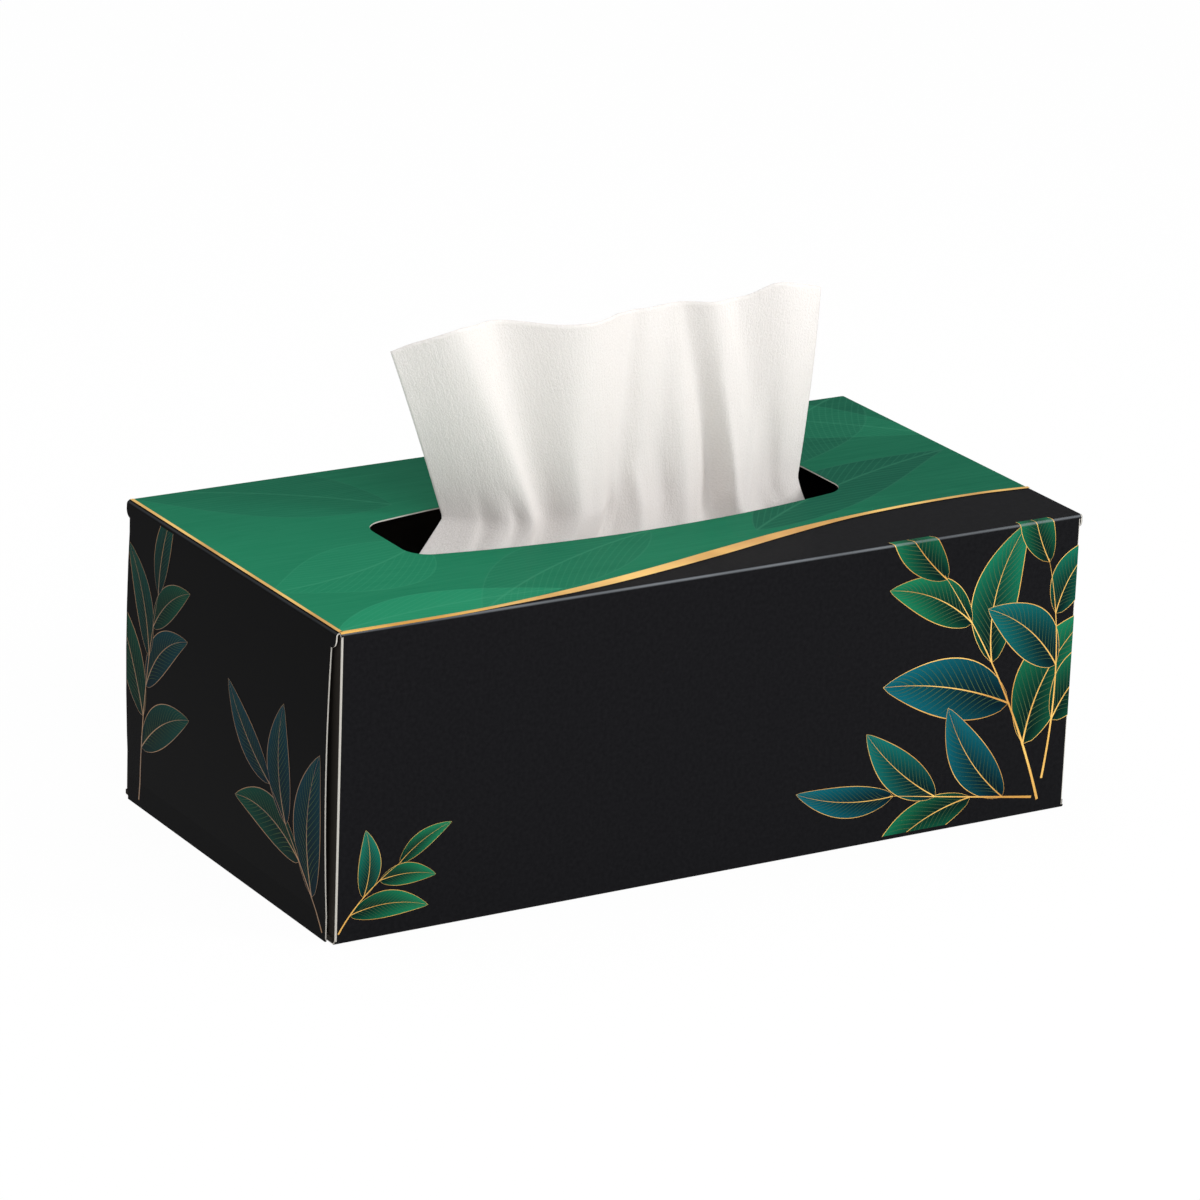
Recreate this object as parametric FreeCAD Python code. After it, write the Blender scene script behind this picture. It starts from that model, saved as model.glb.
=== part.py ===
import FreeCAD, Part
import math
import os

from FreeCAD import Vector

# A tissue box: a folded and glued board carton with a slot in its top, the stack of
# interfolded tissues inside it, and the tissue that stands up through the slot.
# Millimetres. Origin at the middle of the base. X runs along the carton, Y to its back, Z up.

# Carton, over its folds
carton_length = 230.0
carton_width = 120.0
carton_height = 85.0
board = 0.5
fold_radius = 1.0

# Glued seam strip, folded up inside the back panel
seam_height = 14.0
seam_edge_lift = 0.7

# Outer end flap, hung from the top panel and bowed outwards by the board's spring
outer_flap_inset = 3.4
outer_flap_bow = 1.0
outer_flap_glued = 7.0
hinge_notch_radius = 3.0

# Inner end flap, folded up from the bottom panel
inner_flap_reach = 48.0
inner_flap_inset = 9.0
inner_flap_taper = 5.0

# Dust flaps, folded in from the front and back panels
dust_flap_reach = 46.0
dust_flap_inset = 0.8
dust_flap_taper = 7.0

# Slot in the top panel: straight ends, bowed long sides, round corners
slot_length = 135.5
slot_width_middle = 43.0
slot_width_ends = 28.0
slot_corner_radius = 7.5

# Stack of interfolded tissues
stack_length = 200.0
stack_width = 100.0
stack_height = 58.5
stack_fold_radius = 5.0

# One tissue, as a flat sheet, and the play it lies with
tissue_length = 200.0
tissue_width = 194.0
tissue_thickness = 0.5
lying_gap = 0.1
lying_fold_radius = 0.75

# The standing tissue: its height over the top panel, and its side edges left and right of the middle
standing_height = 53.8
top_left = -72.4
top_right = 64.5
waist_left = -43.3
waist_right = 56.6
landing_half_width = 76.0

# The tissue crosses the slot aslant, from back left to front right
waist_line_middle = 3.5
waist_line_slope = -10.5

# Folds of the standing tissue, from left to right. Each runs from the top edge to the slot:
# (place on the top edge, offset there, place in the slot, offset there). Places go from -1 at
# the left edge to 1 at the right edge, and offsets in millimetres to the back.
folds = [
    (-1.00, -5.4, -1.00, 0.0),
    (-0.86, -2.2, -0.83, 1.8),
    (-0.70, 2.4, -0.66, -2.5),
    (-0.44, 9.0, -0.50, 2.8),
    (-0.13, -6.0, -0.29, -3.6),
    (0.06, 0.6, -0.05, 2.9),
    (0.18, 3.2, 0.08, -2.0),
    (0.28, 4.4, 0.22, 2.4),
    (0.37, 4.8, 0.35, -2.2),
    (0.46, 3.4, 0.48, 3.4),
    (0.58, -0.6, 0.62, -3.0),
    (0.85, 9.6, 0.76, 2.4),
    (0.93, 6.4, 0.89, -2.0),
    (1.00, 2.3, 1.00, 0.0),
]
strips_per_fold = 4

# A quarter circle drawn with four poles has its middle two this share of its radius from its ends
quarter_circle_pole = 0.5523

# Places that follow from the sizes above
half_length = carton_length / 2
half_width = carton_width / 2
layers_inside_outer_flap = 2
sleeve_half_length = half_length - layers_inside_outer_flap * board - 2 * fold_radius
stack_bottom = board + lying_gap
stack_top = stack_bottom + stack_height
lower_leaf_middle = stack_top + lying_gap + tissue_thickness / 2
upper_leaf_middle = lower_leaf_middle + 2 * lying_fold_radius
turn_radius = carton_height - upper_leaf_middle
lying_start_y = -turn_radius
front_fold_y = -stack_width / 2
lying_fold_y = front_fold_y + lying_fold_radius + tissue_thickness / 2


def across(y, z):
    return Vector(0, y, z)


def along(x, z):
    return Vector(x, 0, z)


def plan(x, y):
    return Vector(x, y, 0)


def unit(a, b):
    length = math.hypot(b[0] - a[0], b[1] - a[1])
    return ((b[0] - a[0]) / length, (b[1] - a[1]) / length)


def bend_at(before, corner, after, radius):
    """Where a fold of this outer radius starts and ends, its centre, and the way to its corner."""
    come = unit(before, corner)
    go = unit(corner, after)
    start = (corner[0] - come[0] * radius, corner[1] - come[1] * radius)
    end = (corner[0] + go[0] * radius, corner[1] + go[1] * radius)
    centre = (start[0] + go[0] * radius, start[1] + go[1] * radius)
    return start, end, centre, unit(centre, corner)


def folded_board(corners, thickness, radius, place, bowed_run=None, bow=0.0):
    """Section of a board folded square at each inner corner, turning left all the way.

    corners are on its outer face. One run may be bowed outwards.
    """
    outer = []
    inner = []
    at = corners[0]
    for i in range(1, len(corners)):
        last = i == len(corners) - 1
        if last:
            stop = corners[i]
        else:
            stop, leave, centre, way = bend_at(corners[i - 1], corners[i], corners[i + 1], radius)
        come = unit(at, stop)
        left = (-come[1] * thickness, come[0] * thickness)
        ends = (at, stop)
        inner_ends = tuple((p[0] + left[0], p[1] + left[1]) for p in ends)
        lift = bow if i - 1 == bowed_run else 0.0
        outer.append(run(ends, come, lift, place))
        inner.append(run(inner_ends, come, lift, place))
        if not last:
            outer.append(fold(stop, leave, centre, way, radius, place))
            inner_radius = radius - thickness
            go = unit(corners[i], corners[i + 1])
            inner_leave = (leave[0] - go[1] * thickness, leave[1] + go[0] * thickness)
            inner.append(fold(inner_ends[1], inner_leave, centre, way, inner_radius, place))
            at = leave
    outer_end = outer[-1].lastVertex().Point
    inner_end = inner[-1].lastVertex().Point
    start = Part.LineSegment(outer[0].firstVertex().Point, inner[0].firstVertex().Point).toShape()
    end = Part.LineSegment(outer_end, inner_end).toShape()
    edges = Part.sortEdges(outer + [end] + inner + [start])[0]
    return Part.Face(Part.Wire(edges))


def run(ends, come, lift, place):
    """A straight stretch of a section's side, or one bowed to the right of its way."""
    a, b = ends
    if lift == 0.0:
        return Part.LineSegment(place(*a), place(*b)).toShape()
    middle = ((a[0] + b[0]) / 2 + come[1] * lift, (a[1] + b[1]) / 2 - come[0] * lift)
    return Part.Arc(place(*a), place(*middle), place(*b)).toShape()


def fold(start, end, centre, way, radius, place):
    """The rounded stretch of a section's side at a fold."""
    middle = (centre[0] + way[0] * radius, centre[1] + way[1] * radius)
    return Part.Arc(place(*start), place(*middle), place(*end)).toShape()


def outline(points, place):
    return Part.Face(Part.makePolygon([place(*p) for p in points] + [place(*points[0])]))


def mirror_x(shape):
    return shape.mirror(Vector(0, 0, 0), Vector(1, 0, 0))


def mirror_y(shape):
    return shape.mirror(Vector(0, 0, 0), Vector(0, 1, 0))


def carton_sleeve():
    """The four long panels, wrapped round X, with the seam strip inside the back panel."""
    panels = [
        (half_width, seam_edge_lift),
        (half_width, carton_height),
        (-half_width, carton_height),
        (-half_width, 0),
        (0, 0),
    ]
    seam = [(0, 0), (half_width - board, 0), (half_width - board, seam_height)]
    sections = [folded_board(corners, board, fold_radius, across) for corners in (panels, seam)]
    panel_length, seam_length = (centred_length(section, sleeve_half_length) for section in sections)
    folds_reach = half_length - layers_inside_outer_flap * board
    folds_on = centred_length(sections[0], folds_reach).common(fold_zones(folds_reach))
    return panel_length.fuse([seam_length, folds_on])


def centred_length(section, reach):
    length = section.copy()
    length.translate(Vector(-reach, 0, 0))
    return length.extrude(Vector(2 * reach, 0, 0))


def fold_zones(reach):
    """The square corners of the carton that its four long folds lie in."""
    zones = []
    for y in (-half_width, half_width - fold_radius):
        for z in (0, carton_height - fold_radius):
            corner = Vector(-reach, y, z)
            zones.append(Part.makeBox(2 * reach, fold_radius, fold_radius, corner))
    return Part.makeCompound(zones)


def outer_flap():
    """Right end: the top panel's last stretch, its fold, and the flap down to the base."""
    corners = [
        (half_length, 0),
        (half_length, outer_flap_glued),
        (half_length, carton_height),
        (sleeve_half_length, carton_height),
    ]
    flat = folded_board(corners[:2], board, fold_radius, along)
    rest = folded_board(corners[1:], board, fold_radius, along, 0, outer_flap_bow)
    strip = flat.extrude(Vector(0, carton_width, 0)).fuse(rest.extrude(Vector(0, carton_width, 0)))
    strip.translate(Vector(0, -half_width, 0))
    return strip.common(outer_flap_blank())


def outer_flap_blank():
    """The outer flap's outline seen from the end: full width at its fold, notched below it."""
    side = half_width - outer_flap_inset
    hinge = half_width - fold_radius
    notch_top = carton_height - 2 * fold_radius
    notch = min(hinge_notch_radius, hinge - side)
    corner = notch * (1 - math.sqrt(0.5))
    edges = []
    for way in (1, -1):
        top = across(way * hinge, carton_height + board)
        start = across(way * hinge, notch_top)
        middle = across(way * (hinge - corner), notch_top - notch + corner)
        end = across(way * (hinge - notch), notch_top - notch)
        low = across(way * side, notch_top - notch - (hinge - notch - side))
        foot = across(way * side, -board)
        edges.append(Part.LineSegment(top, start).toShape())
        edges.append(Part.Arc(start, middle, end).toShape())
        if low.distanceToPoint(end) > board:
            edges.append(Part.LineSegment(end, low).toShape())
            edges.append(Part.LineSegment(low, foot).toShape())
        else:
            edges.append(Part.LineSegment(end, foot).toShape())
    rise = carton_height + board
    edges.append(Part.LineSegment(across(hinge, rise), across(-hinge, rise)).toShape())
    edges.append(Part.LineSegment(edges[-2].lastVertex().Point, across(side, -board)).toShape())
    face = Part.Face(Part.Wire(Part.sortEdges(edges)[0]))
    face.translate(Vector(sleeve_half_length, 0, 0))
    return face.extrude(Vector(half_length + outer_flap_bow, 0, 0))


def inner_flap():
    """Right end: the bottom panel's last stretch, its fold, and the flap up behind the outer one."""
    end = half_length - board
    corners = [(sleeve_half_length, 0), (end, 0), (end, inner_flap_reach)]
    strip = folded_board(corners, board, fold_radius, along).extrude(Vector(0, carton_width, 0))
    strip.translate(Vector(0, -half_width, 0))
    hinge = half_width - fold_radius
    root = half_width - inner_flap_inset
    tip = root - inner_flap_taper
    turn = 2 * fold_radius
    right = [(hinge, -board), (hinge, turn), (root, turn + fold_radius), (tip, inner_flap_reach + board)]
    left = [(-y, z) for y, z in reversed(right)]
    blank = outline(right + left, across)
    return strip.common(blank.extrude(Vector(half_length, 0, 0)))


def dust_flap():
    """Right front corner: the front panel's last stretch, its fold, and the flap folded in."""
    end = half_length - layers_inside_outer_flap * board
    corners = [
        (sleeve_half_length, -half_width),
        (end, -half_width),
        (end, -half_width + dust_flap_reach),
    ]
    strip = folded_board(corners, board, fold_radius, plan).extrude(Vector(0, 0, carton_height))
    hinge = -half_width + 2 * fold_radius
    tip = -half_width + dust_flap_reach
    low = dust_flap_inset
    high = carton_height - dust_flap_inset
    blank = [
        (-carton_width, low),
        (hinge, low),
        (tip, low + dust_flap_taper),
        (tip, high - dust_flap_taper),
        (hinge, high),
        (-carton_width, high),
    ]
    return strip.common(outline(blank, across).extrude(Vector(half_length, 0, 0)))


def slot_cutter():
    """The slot's outline, taken through the top panel."""
    x = slot_length / 2
    wide = slot_width_middle / 2
    narrow = slot_width_ends / 2
    front = Part.Arc(plan(-x, -narrow), plan(0, -wide), plan(x, -narrow)).toShape()
    right = Part.LineSegment(plan(x, -narrow), plan(x, narrow)).toShape()
    back = Part.Arc(plan(x, narrow), plan(0, wide), plan(-x, narrow)).toShape()
    left = Part.LineSegment(plan(-x, narrow), plan(-x, -narrow)).toShape()
    face = Part.Face(Part.Wire([front, right, back, left]))
    face.translate(Vector(0, 0, carton_height - 2 * board))
    prism = face.extrude(Vector(0, 0, 3 * board))
    corners = [e for e in prism.Edges if abs(e.tangentAt(e.FirstParameter).z) > 0.99]
    return prism.makeFillet(slot_corner_radius, corners)


def carton():
    outer = outer_flap()
    inner = inner_flap()
    dust = dust_flap()
    flaps = [outer, inner, dust, mirror_y(dust)]
    flaps = flaps + [mirror_x(flap) for flap in flaps]
    blank = carton_sleeve().fuse(flaps)
    return blank.cut(slot_cutter()).removeSplitter()


def tissue_stack():
    """The folded tissues: the folds lie along the front and back and are soft and round."""
    half = stack_width / 2
    block = Part.makeBox(stack_length, stack_width, stack_height)
    block.translate(Vector(-stack_length / 2, -half, stack_bottom))
    folds_along = [e for e in block.Edges if abs(e.tangentAt(e.FirstParameter).x) > 0.99]
    return block.makeFillet(stack_fold_radius, folds_along)


def slope_at(points, i):
    before = points[max(i - 1, 0)]
    after = points[min(i + 1, len(points) - 1)]
    return (after[1] - before[1]) / (after[0] - before[0])


def offset_in(points, i, share):
    """The offset this share of the way from fold i to the next, on the smooth curve through all."""
    place, offset = points[i]
    next_place, next_offset = points[i + 1]
    span = next_place - place
    start = offset * (1 + 2 * share) * (1 - share) ** 2
    start += slope_at(points, i) * span * share * (1 - share) ** 2
    end = next_offset * share ** 2 * (3 - 2 * share)
    end -= slope_at(points, i + 1) * span * share ** 2 * (1 - share)
    return start + end


def row_across(left, right, points, point):
    """One row of the tissue, placed: from fold to fold it is divided into narrow strips."""
    middle = (left + right) / 2
    half = (right - left) / 2
    row = [point(middle + half * points[0][0], points[0][1])]
    for i in range(len(points) - 1):
        span = points[i + 1][0] - points[i][0]
        for strip in range(1, strips_per_fold + 1):
            share = strip / strips_per_fold
            place = points[i][0] + span * share
            row.append(point(middle + half * place, offset_in(points, i, share)))
    return row


def standing_rows(shift):
    """Rows of poles down the standing tissue, for the face this far behind its middle."""
    top_points = [(fold[0], fold[1]) for fold in folds]
    slot_points = [(fold[2], waist_line_middle + waist_line_slope * fold[2] + fold[3]) for fold in folds]
    flat_points = [(fold[2], 0.0) for fold in folds]
    top_z = carton_height + standing_height
    low_z = upper_leaf_middle - shift
    reach = quarter_circle_pole * (turn_radius + shift)
    lead = reach / standing_height
    spread = (tissue_width / 2 - landing_half_width) / (lying_start_y - lying_fold_y)
    half = landing_half_width - spread * reach
    top = row_across(top_left, top_right, top_points, lambda x, offset: Vector(x, offset + shift, top_z))
    slot = row_across(waist_left, waist_right, slot_points,
                      lambda x, offset: Vector(x, offset + shift, carton_height))
    under = [low + (low - high) * lead for high, low in zip(top, slot)]
    before = row_across(-half, half, flat_points,
                        lambda x, offset: Vector(x, lying_start_y + reach, low_z))
    landed = row_across(-landing_half_width, landing_half_width, flat_points,
                        lambda x, offset: Vector(x, lying_start_y, low_z))
    return top, slot, under, before, landed


def ruled_strip(rows):
    """A face ruled across two columns of poles, and smooth down them."""
    surface = Part.BezierSurface()
    if len(rows) > 2:
        surface.increase(len(rows) - 1, 1)
    for i, row in enumerate(rows):
        for j, pole in enumerate(row):
            surface.setPole(i + 1, j + 1, pole)
    return surface.toShape()


def standing_sheet():
    """The gathered sheet from its top edge, through the slot, to where it lies on the stack."""
    front = standing_rows(-tissue_thickness / 2)
    back = standing_rows(tissue_thickness / 2)
    faces = []
    for i in range(len(front[0]) - 1):
        for rows in (front, back):
            columns = [row[i:i + 2] for row in rows]
            faces.append(ruled_strip(columns[:2]))
            faces.append(ruled_strip(columns[1:]))
        for rim in (0, -1):
            faces.append(ruled_strip([front[rim][i:i + 2], back[rim][i:i + 2]]))
    for side in (0, -1):
        columns = [(front_row[side], back_row[side]) for front_row, back_row in zip(front, back)]
        faces.append(ruled_strip(columns[:2]))
        faces.append(ruled_strip(columns[1:]))
    shell = Part.makeCompound(faces)
    shell.sewShape()
    solid = Part.Solid(shell.Shells[0])
    if solid.Volume < 0:
        solid.reverse()
    return solid


def lying_leaf():
    """The flat stretch that runs forward on the stack and widens to the tissue's full width."""
    half = tissue_width / 2
    corners = [
        (-landing_half_width, lying_start_y),
        (-half, lying_fold_y),
        (half, lying_fold_y),
        (landing_half_width, lying_start_y),
    ]
    leaf = outline(corners, plan)
    leaf.translate(Vector(0, 0, upper_leaf_middle - tissue_thickness / 2))
    return leaf.extrude(Vector(0, 0, tissue_thickness))


def folded_leaf():
    """The fold at the stack's front edge, and the lower half of the tissue back over the stack."""
    outer_radius = lying_fold_radius + tissue_thickness / 2
    quarter = turn_radius * math.pi / 2
    lying_run = lying_start_y - lying_fold_y
    fold_length = lying_fold_radius * math.pi
    lower_run = tissue_length - standing_height - quarter - lying_run - fold_length
    top = upper_leaf_middle + tissue_thickness / 2
    low = lower_leaf_middle - tissue_thickness / 2
    corners = [
        (lying_fold_y, top),
        (front_fold_y, top),
        (front_fold_y, low),
        (lying_fold_y + lower_run, low),
    ]
    section = half_turn(corners, outer_radius)
    section.translate(Vector(-tissue_width / 2, 0, 0))
    return section.extrude(Vector(tissue_width, 0, 0))


def half_turn(corners, outer_radius):
    """Section of a sheet that turns back on itself over a fold, from its upper to its lower leaf."""
    start, high, low, end = corners
    inner_radius = outer_radius - tissue_thickness
    middle = (high[1] + low[1]) / 2
    outer_fold = Part.Arc(across(*start), across(high[0], middle), across(start[0], low[1])).toShape()
    inner_top = across(start[0], start[1] - tissue_thickness)
    inner_low = across(start[0], low[1] + tissue_thickness)
    inner_side = across(start[0] - inner_radius, middle)
    inner_fold = Part.Arc(inner_top, inner_side, inner_low).toShape()
    end_top = across(end[0], end[1] + tissue_thickness)
    edges = [
        outer_fold,
        Part.LineSegment(across(start[0], low[1]), across(*end)).toShape(),
        Part.LineSegment(across(*end), end_top).toShape(),
        Part.LineSegment(end_top, inner_low).toShape(),
        inner_fold,
        Part.LineSegment(inner_top, across(*start)).toShape(),
    ]
    return Part.Face(Part.Wire(Part.sortEdges(edges)[0]))


def pulled_tissue():
    return standing_sheet().fuse([lying_leaf(), folded_leaf()]).removeSplitter()


os.makedirs("parts", exist_ok=True)
nodes = {
    "carton": carton(),
    "tissue_stack": tissue_stack(),
    "pulled_tissue": pulled_tissue(),
}
for name, shape in nodes.items():
    shape.exportStep("parts/" + name + ".step")
    box = shape.BoundBox
    print(name, "solids", len(shape.Solids), "valid", shape.isValid(), "volume", round(shape.Volume, 1))
    print("  x", round(box.XMin, 2), round(box.XMax, 2), "y", round(box.YMin, 2), round(box.YMax, 2),
          "z", round(box.ZMin, 2), round(box.ZMax, 2))
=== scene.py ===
# %% [markdown]
# # A tissue box with one tissue pulled up
# The box is one printed board blank, folded and glued. It comes in as the fixed frame, with the stack of
# tissues inside it, so the carton's own solid is kept and only gets its board and print. The pulled
# tissue is a soft sheet, so it is made again here, finer than the solid that holds its place.

# %% Load the frame
import math
import random

import bmesh
import bpy
from mathutils import Euler, Matrix, Vector, noise


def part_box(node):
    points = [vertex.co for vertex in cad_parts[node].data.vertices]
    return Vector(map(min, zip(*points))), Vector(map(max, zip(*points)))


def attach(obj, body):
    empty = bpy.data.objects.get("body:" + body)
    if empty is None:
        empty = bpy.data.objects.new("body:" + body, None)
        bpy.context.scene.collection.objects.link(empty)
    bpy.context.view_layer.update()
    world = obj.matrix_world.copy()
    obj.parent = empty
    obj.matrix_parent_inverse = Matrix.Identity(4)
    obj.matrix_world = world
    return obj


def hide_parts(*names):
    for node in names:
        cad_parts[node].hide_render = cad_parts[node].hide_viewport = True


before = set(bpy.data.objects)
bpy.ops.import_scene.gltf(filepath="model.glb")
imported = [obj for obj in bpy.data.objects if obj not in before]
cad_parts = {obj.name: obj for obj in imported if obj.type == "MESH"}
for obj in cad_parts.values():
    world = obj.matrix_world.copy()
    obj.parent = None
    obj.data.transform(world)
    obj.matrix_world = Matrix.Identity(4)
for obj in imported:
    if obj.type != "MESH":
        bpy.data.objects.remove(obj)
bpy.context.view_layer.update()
MM = 0.001
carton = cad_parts["carton"]
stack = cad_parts["tissue_stack"]

# %% [markdown]
# ## Sizes
# Everything is placed from the carton's own box. Its ends bow out by the flap's bow, so the folds sit
# that much inside the box. Lengths are written in millimetres and turned to metres where they are used.

# %% Sizes read from the carton, and the few that the box doesn't tell
carton_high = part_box("carton")[1]
FLAP_BOW = 1.0
HALF_LENGTH = carton_high[0] / MM - FLAP_BOW
HALF_WIDTH = carton_high[1] / MM
HEIGHT = carton_high[2] / MM
FOLD = 1.0
FLAP_GLUED = 7.0
stack_low, stack_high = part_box("tissue_stack")
STACK_TOP = stack_high[2] / MM
STACK_FRONT = stack_low[1] / MM
print("carton", HALF_LENGTH * 2, HALF_WIDTH * 2, HEIGHT, "stack top", STACK_TOP)

# %% [markdown]
# ## Camera
# A long lens from the front left, a little above the box. The roll of two degrees is in the photograph:
# its upright edges all lean the same way.

# %% Camera
CAMERA_TARGET = Vector((8.9, 16.6, 51.8)) * MM
CAMERA_DISTANCE = 1.623
CAMERA_AZIMUTH = math.radians(-31.50)
CAMERA_ELEVATION = math.radians(19.10)
CAMERA_ROLL = math.radians(2.16)
CAMERA_LENS = 177.32
CAMERA_SENSOR = 36.0


def add_camera():
    data = bpy.data.cameras.new("camera")
    data.lens = CAMERA_LENS
    data.sensor_width = CAMERA_SENSOR
    camera = bpy.data.objects.new("camera", data)
    bpy.context.scene.collection.objects.link(camera)
    way = Vector((0, math.cos(CAMERA_ELEVATION), -math.sin(CAMERA_ELEVATION)))
    way.rotate(Euler((0, 0, CAMERA_AZIMUTH)))
    turn = way.to_track_quat("-Z", "Y") @ Euler((0, 0, CAMERA_ROLL)).to_quaternion()
    camera.location = CAMERA_TARGET - way * CAMERA_DISTANCE
    camera.rotation_euler = turn.to_euler()
    bpy.context.scene.camera = camera
    return camera


camera = add_camera()
print("camera at", tuple(round(v, 4) for v in camera.location))

# %% [markdown]
# ## Small helpers for shader nodes
# Materials are wired in many small steps, so these keep one step to one line. What several materials or
# many leaves share is put in a node group, which is wired once and then used like a single node.

# %% Shader helpers: single nodes
def new_material(name):
    material = bpy.data.materials.new(name)
    material.use_nodes = True
    return material, material.node_tree


def wire(tree, value, socket):
    """Links an output to a socket, or writes a plain value on it."""
    if isinstance(value, bpy.types.NodeSocket):
        tree.links.new(value, socket)
    else:
        socket.default_value = value


def maths(tree, operation, a, b=0.0, c=0.0):
    node = tree.nodes.new("ShaderNodeMath")
    node.operation = operation
    for value, socket in zip((a, b, c), node.inputs):
        wire(tree, value, socket)
    return node.outputs[0]


def blend(tree, share, a, b):
    """Colour a where share is 0, colour b where it is 1."""
    node = tree.nodes.new("ShaderNodeMix")
    node.data_type = "RGBA"
    wire(tree, share, node.inputs["Factor"])
    wire(tree, a, node.inputs[6])
    wire(tree, b, node.inputs[7])
    return node.outputs[2]


def step(tree, value, low, high, smooth=False):
    """0 at low and beyond it, 1 at high and beyond it. Low may be the larger of the two."""
    node = tree.nodes.new("ShaderNodeMapRange")
    node.interpolation_type = "SMOOTHSTEP" if smooth else "LINEAR"
    wire(tree, value, node.inputs["Value"])
    node.inputs["From Min"].default_value = low
    node.inputs["From Max"].default_value = high
    return node.outputs["Result"]


def cloud(tree, place, scale, detail=3.0, roughness=0.5, distortion=0.0):
    node = tree.nodes.new("ShaderNodeTexNoise")
    wire(tree, place, node.inputs["Vector"])
    node.inputs["Scale"].default_value = scale
    node.inputs["Detail"].default_value = detail
    node.inputs["Roughness"].default_value = roughness
    node.inputs["Distortion"].default_value = distortion
    return node.outputs["Fac"]


def object_place(tree):
    return tree.nodes.new("ShaderNodeTexCoord").outputs["Object"]


def parts_of(tree, vector):
    """x, y and z of a vector."""
    node = tree.nodes.new("ShaderNodeSeparateXYZ")
    wire(tree, vector, node.inputs[0])
    return node.outputs[:]


def in_millimetres(tree, place):
    """x, y and z of a place in metres, in millimetres."""
    return [maths(tree, "DIVIDE", part, MM) for part in parts_of(tree, place)]


def stretched(tree, place, factors):
    node = tree.nodes.new("ShaderNodeMapping")
    wire(tree, place, node.inputs["Vector"])
    node.inputs["Scale"].default_value = factors
    return node.outputs[0]


def colour(red, green, blue):
    """A colour written as it looks, 0 to 255, turned to the linear values that a shader takes."""
    shares = (v / 255 for v in (red, green, blue))
    linear = (s / 12.92 if s <= 0.04045 else ((s + 0.055) / 1.055) ** 2.4 for s in shares)
    return (*linear, 1.0)


def principled(tree):
    return tree.nodes["Principled BSDF"]


print("white written as", colour(255, 255, 255))


# %% Shader helpers: groups
def new_group(name, vectors, numbers, results):
    """A node group with its vector inputs, its number inputs and its number outputs, by their names."""
    tree = bpy.data.node_groups.new(name, "ShaderNodeTree")
    for socket in vectors:
        tree.interface.new_socket(socket, in_out="INPUT", socket_type="NodeSocketVector")
    for socket in numbers:
        tree.interface.new_socket(socket, in_out="INPUT", socket_type="NodeSocketFloat")
    for socket in results:
        tree.interface.new_socket(socket, in_out="OUTPUT", socket_type="NodeSocketFloat")
    entry = tree.nodes.new("NodeGroupInput")
    leave = tree.nodes.new("NodeGroupOutput")
    return tree, entry.outputs, leave.inputs


def use_group(tree, group, *values):
    """The outputs of a group that is given these values."""
    node = tree.nodes.new("ShaderNodeGroup")
    node.node_tree = group
    for value, socket in zip(values, node.inputs):
        wire(tree, value, socket)
    return node.outputs


print("node groups so far", len(bpy.data.node_groups))

# %% [markdown]
# ## Floor and light
# A studio cut-out: white all round, a soft lamp from the right that makes the tissue's folds show, a
# weaker and larger one over the camera, and a top lamp. The floor is nearly all white to the camera and
# to reflections, and its last small share is a matte that takes the box's faint shadow.

# %% Floor, world and lamps
FLOOR_SIZE = 6.0
WHITE_SHARE = 0.97
WORLD_LEVEL = 0.52
# Each lamp is (name, place, aim, side length, watts).
LAMPS = [
    ("key", (1.0, -1.1, 0.8), (0, 0, 0.1), 0.45, 12.4),
    ("fill", (-0.3, -1.3, 0.95), (0, 0, 0.1), 0.9, 8.6),
    ("top", (-0.1, 0.2, 1.3), (0, 0, 0.08), 0.9, 4),
]


def make_object(name, bm):
    """Puts what bm holds into the scene as an object."""
    mesh = bpy.data.meshes.new(name)
    bm.to_mesh(mesh)
    bm.free()
    made = bpy.data.objects.new(name, mesh)
    bpy.context.scene.collection.objects.link(made)
    return made


def add_floor():
    bm = bmesh.new()
    bmesh.ops.create_grid(bm, x_segments=1, y_segments=1, size=FLOOR_SIZE)
    floor = make_object("floor", bm)
    material, tree = new_material("white floor")
    tree.nodes.remove(principled(tree))
    matte = tree.nodes.new("ShaderNodeBsdfDiffuse")
    matte.inputs["Color"].default_value = (0.95, 0.95, 0.95, 1)
    white = tree.nodes.new("ShaderNodeEmission")
    white.inputs["Strength"].default_value = 1.0
    path = tree.nodes.new("ShaderNodeLightPath")
    seen = maths(tree, "ADD", path.outputs["Is Camera Ray"], path.outputs["Is Glossy Ray"])
    seen = maths(tree, "ADD", seen, path.outputs["Is Transmission Ray"])
    mix = tree.nodes.new("ShaderNodeMixShader")
    wire(tree, maths(tree, "MULTIPLY", seen, WHITE_SHARE), mix.inputs[0])
    wire(tree, matte.outputs[0], mix.inputs[1])
    wire(tree, white.outputs[0], mix.inputs[2])
    wire(tree, mix.outputs[0], tree.nodes["Material Output"].inputs["Surface"])
    floor.data.materials.append(material)


def add_world(level):
    world = bpy.data.worlds.new("studio")
    bpy.context.scene.world = world
    world.use_nodes = True
    back = world.node_tree.nodes["Background"]
    back.inputs["Color"].default_value = (1, 1, 1, 1)
    back.inputs["Strength"].default_value = level


def add_lamp(name, place, aim, side, watts):
    data = bpy.data.lights.new(name, "AREA")
    data.shape = "SQUARE"
    data.size = side
    data.energy = watts
    lamp = bpy.data.objects.new(name, data)
    bpy.context.scene.collection.objects.link(lamp)
    lamp.location = place
    lamp.rotation_euler = (Vector(aim) - Vector(place)).to_track_quat("-Z", "Y").to_euler()


add_floor()
add_world(WORLD_LEVEL)
for lamp in LAMPS:
    add_lamp(*lamp)
bpy.context.scene.view_settings.view_transform = "Standard"

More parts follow.
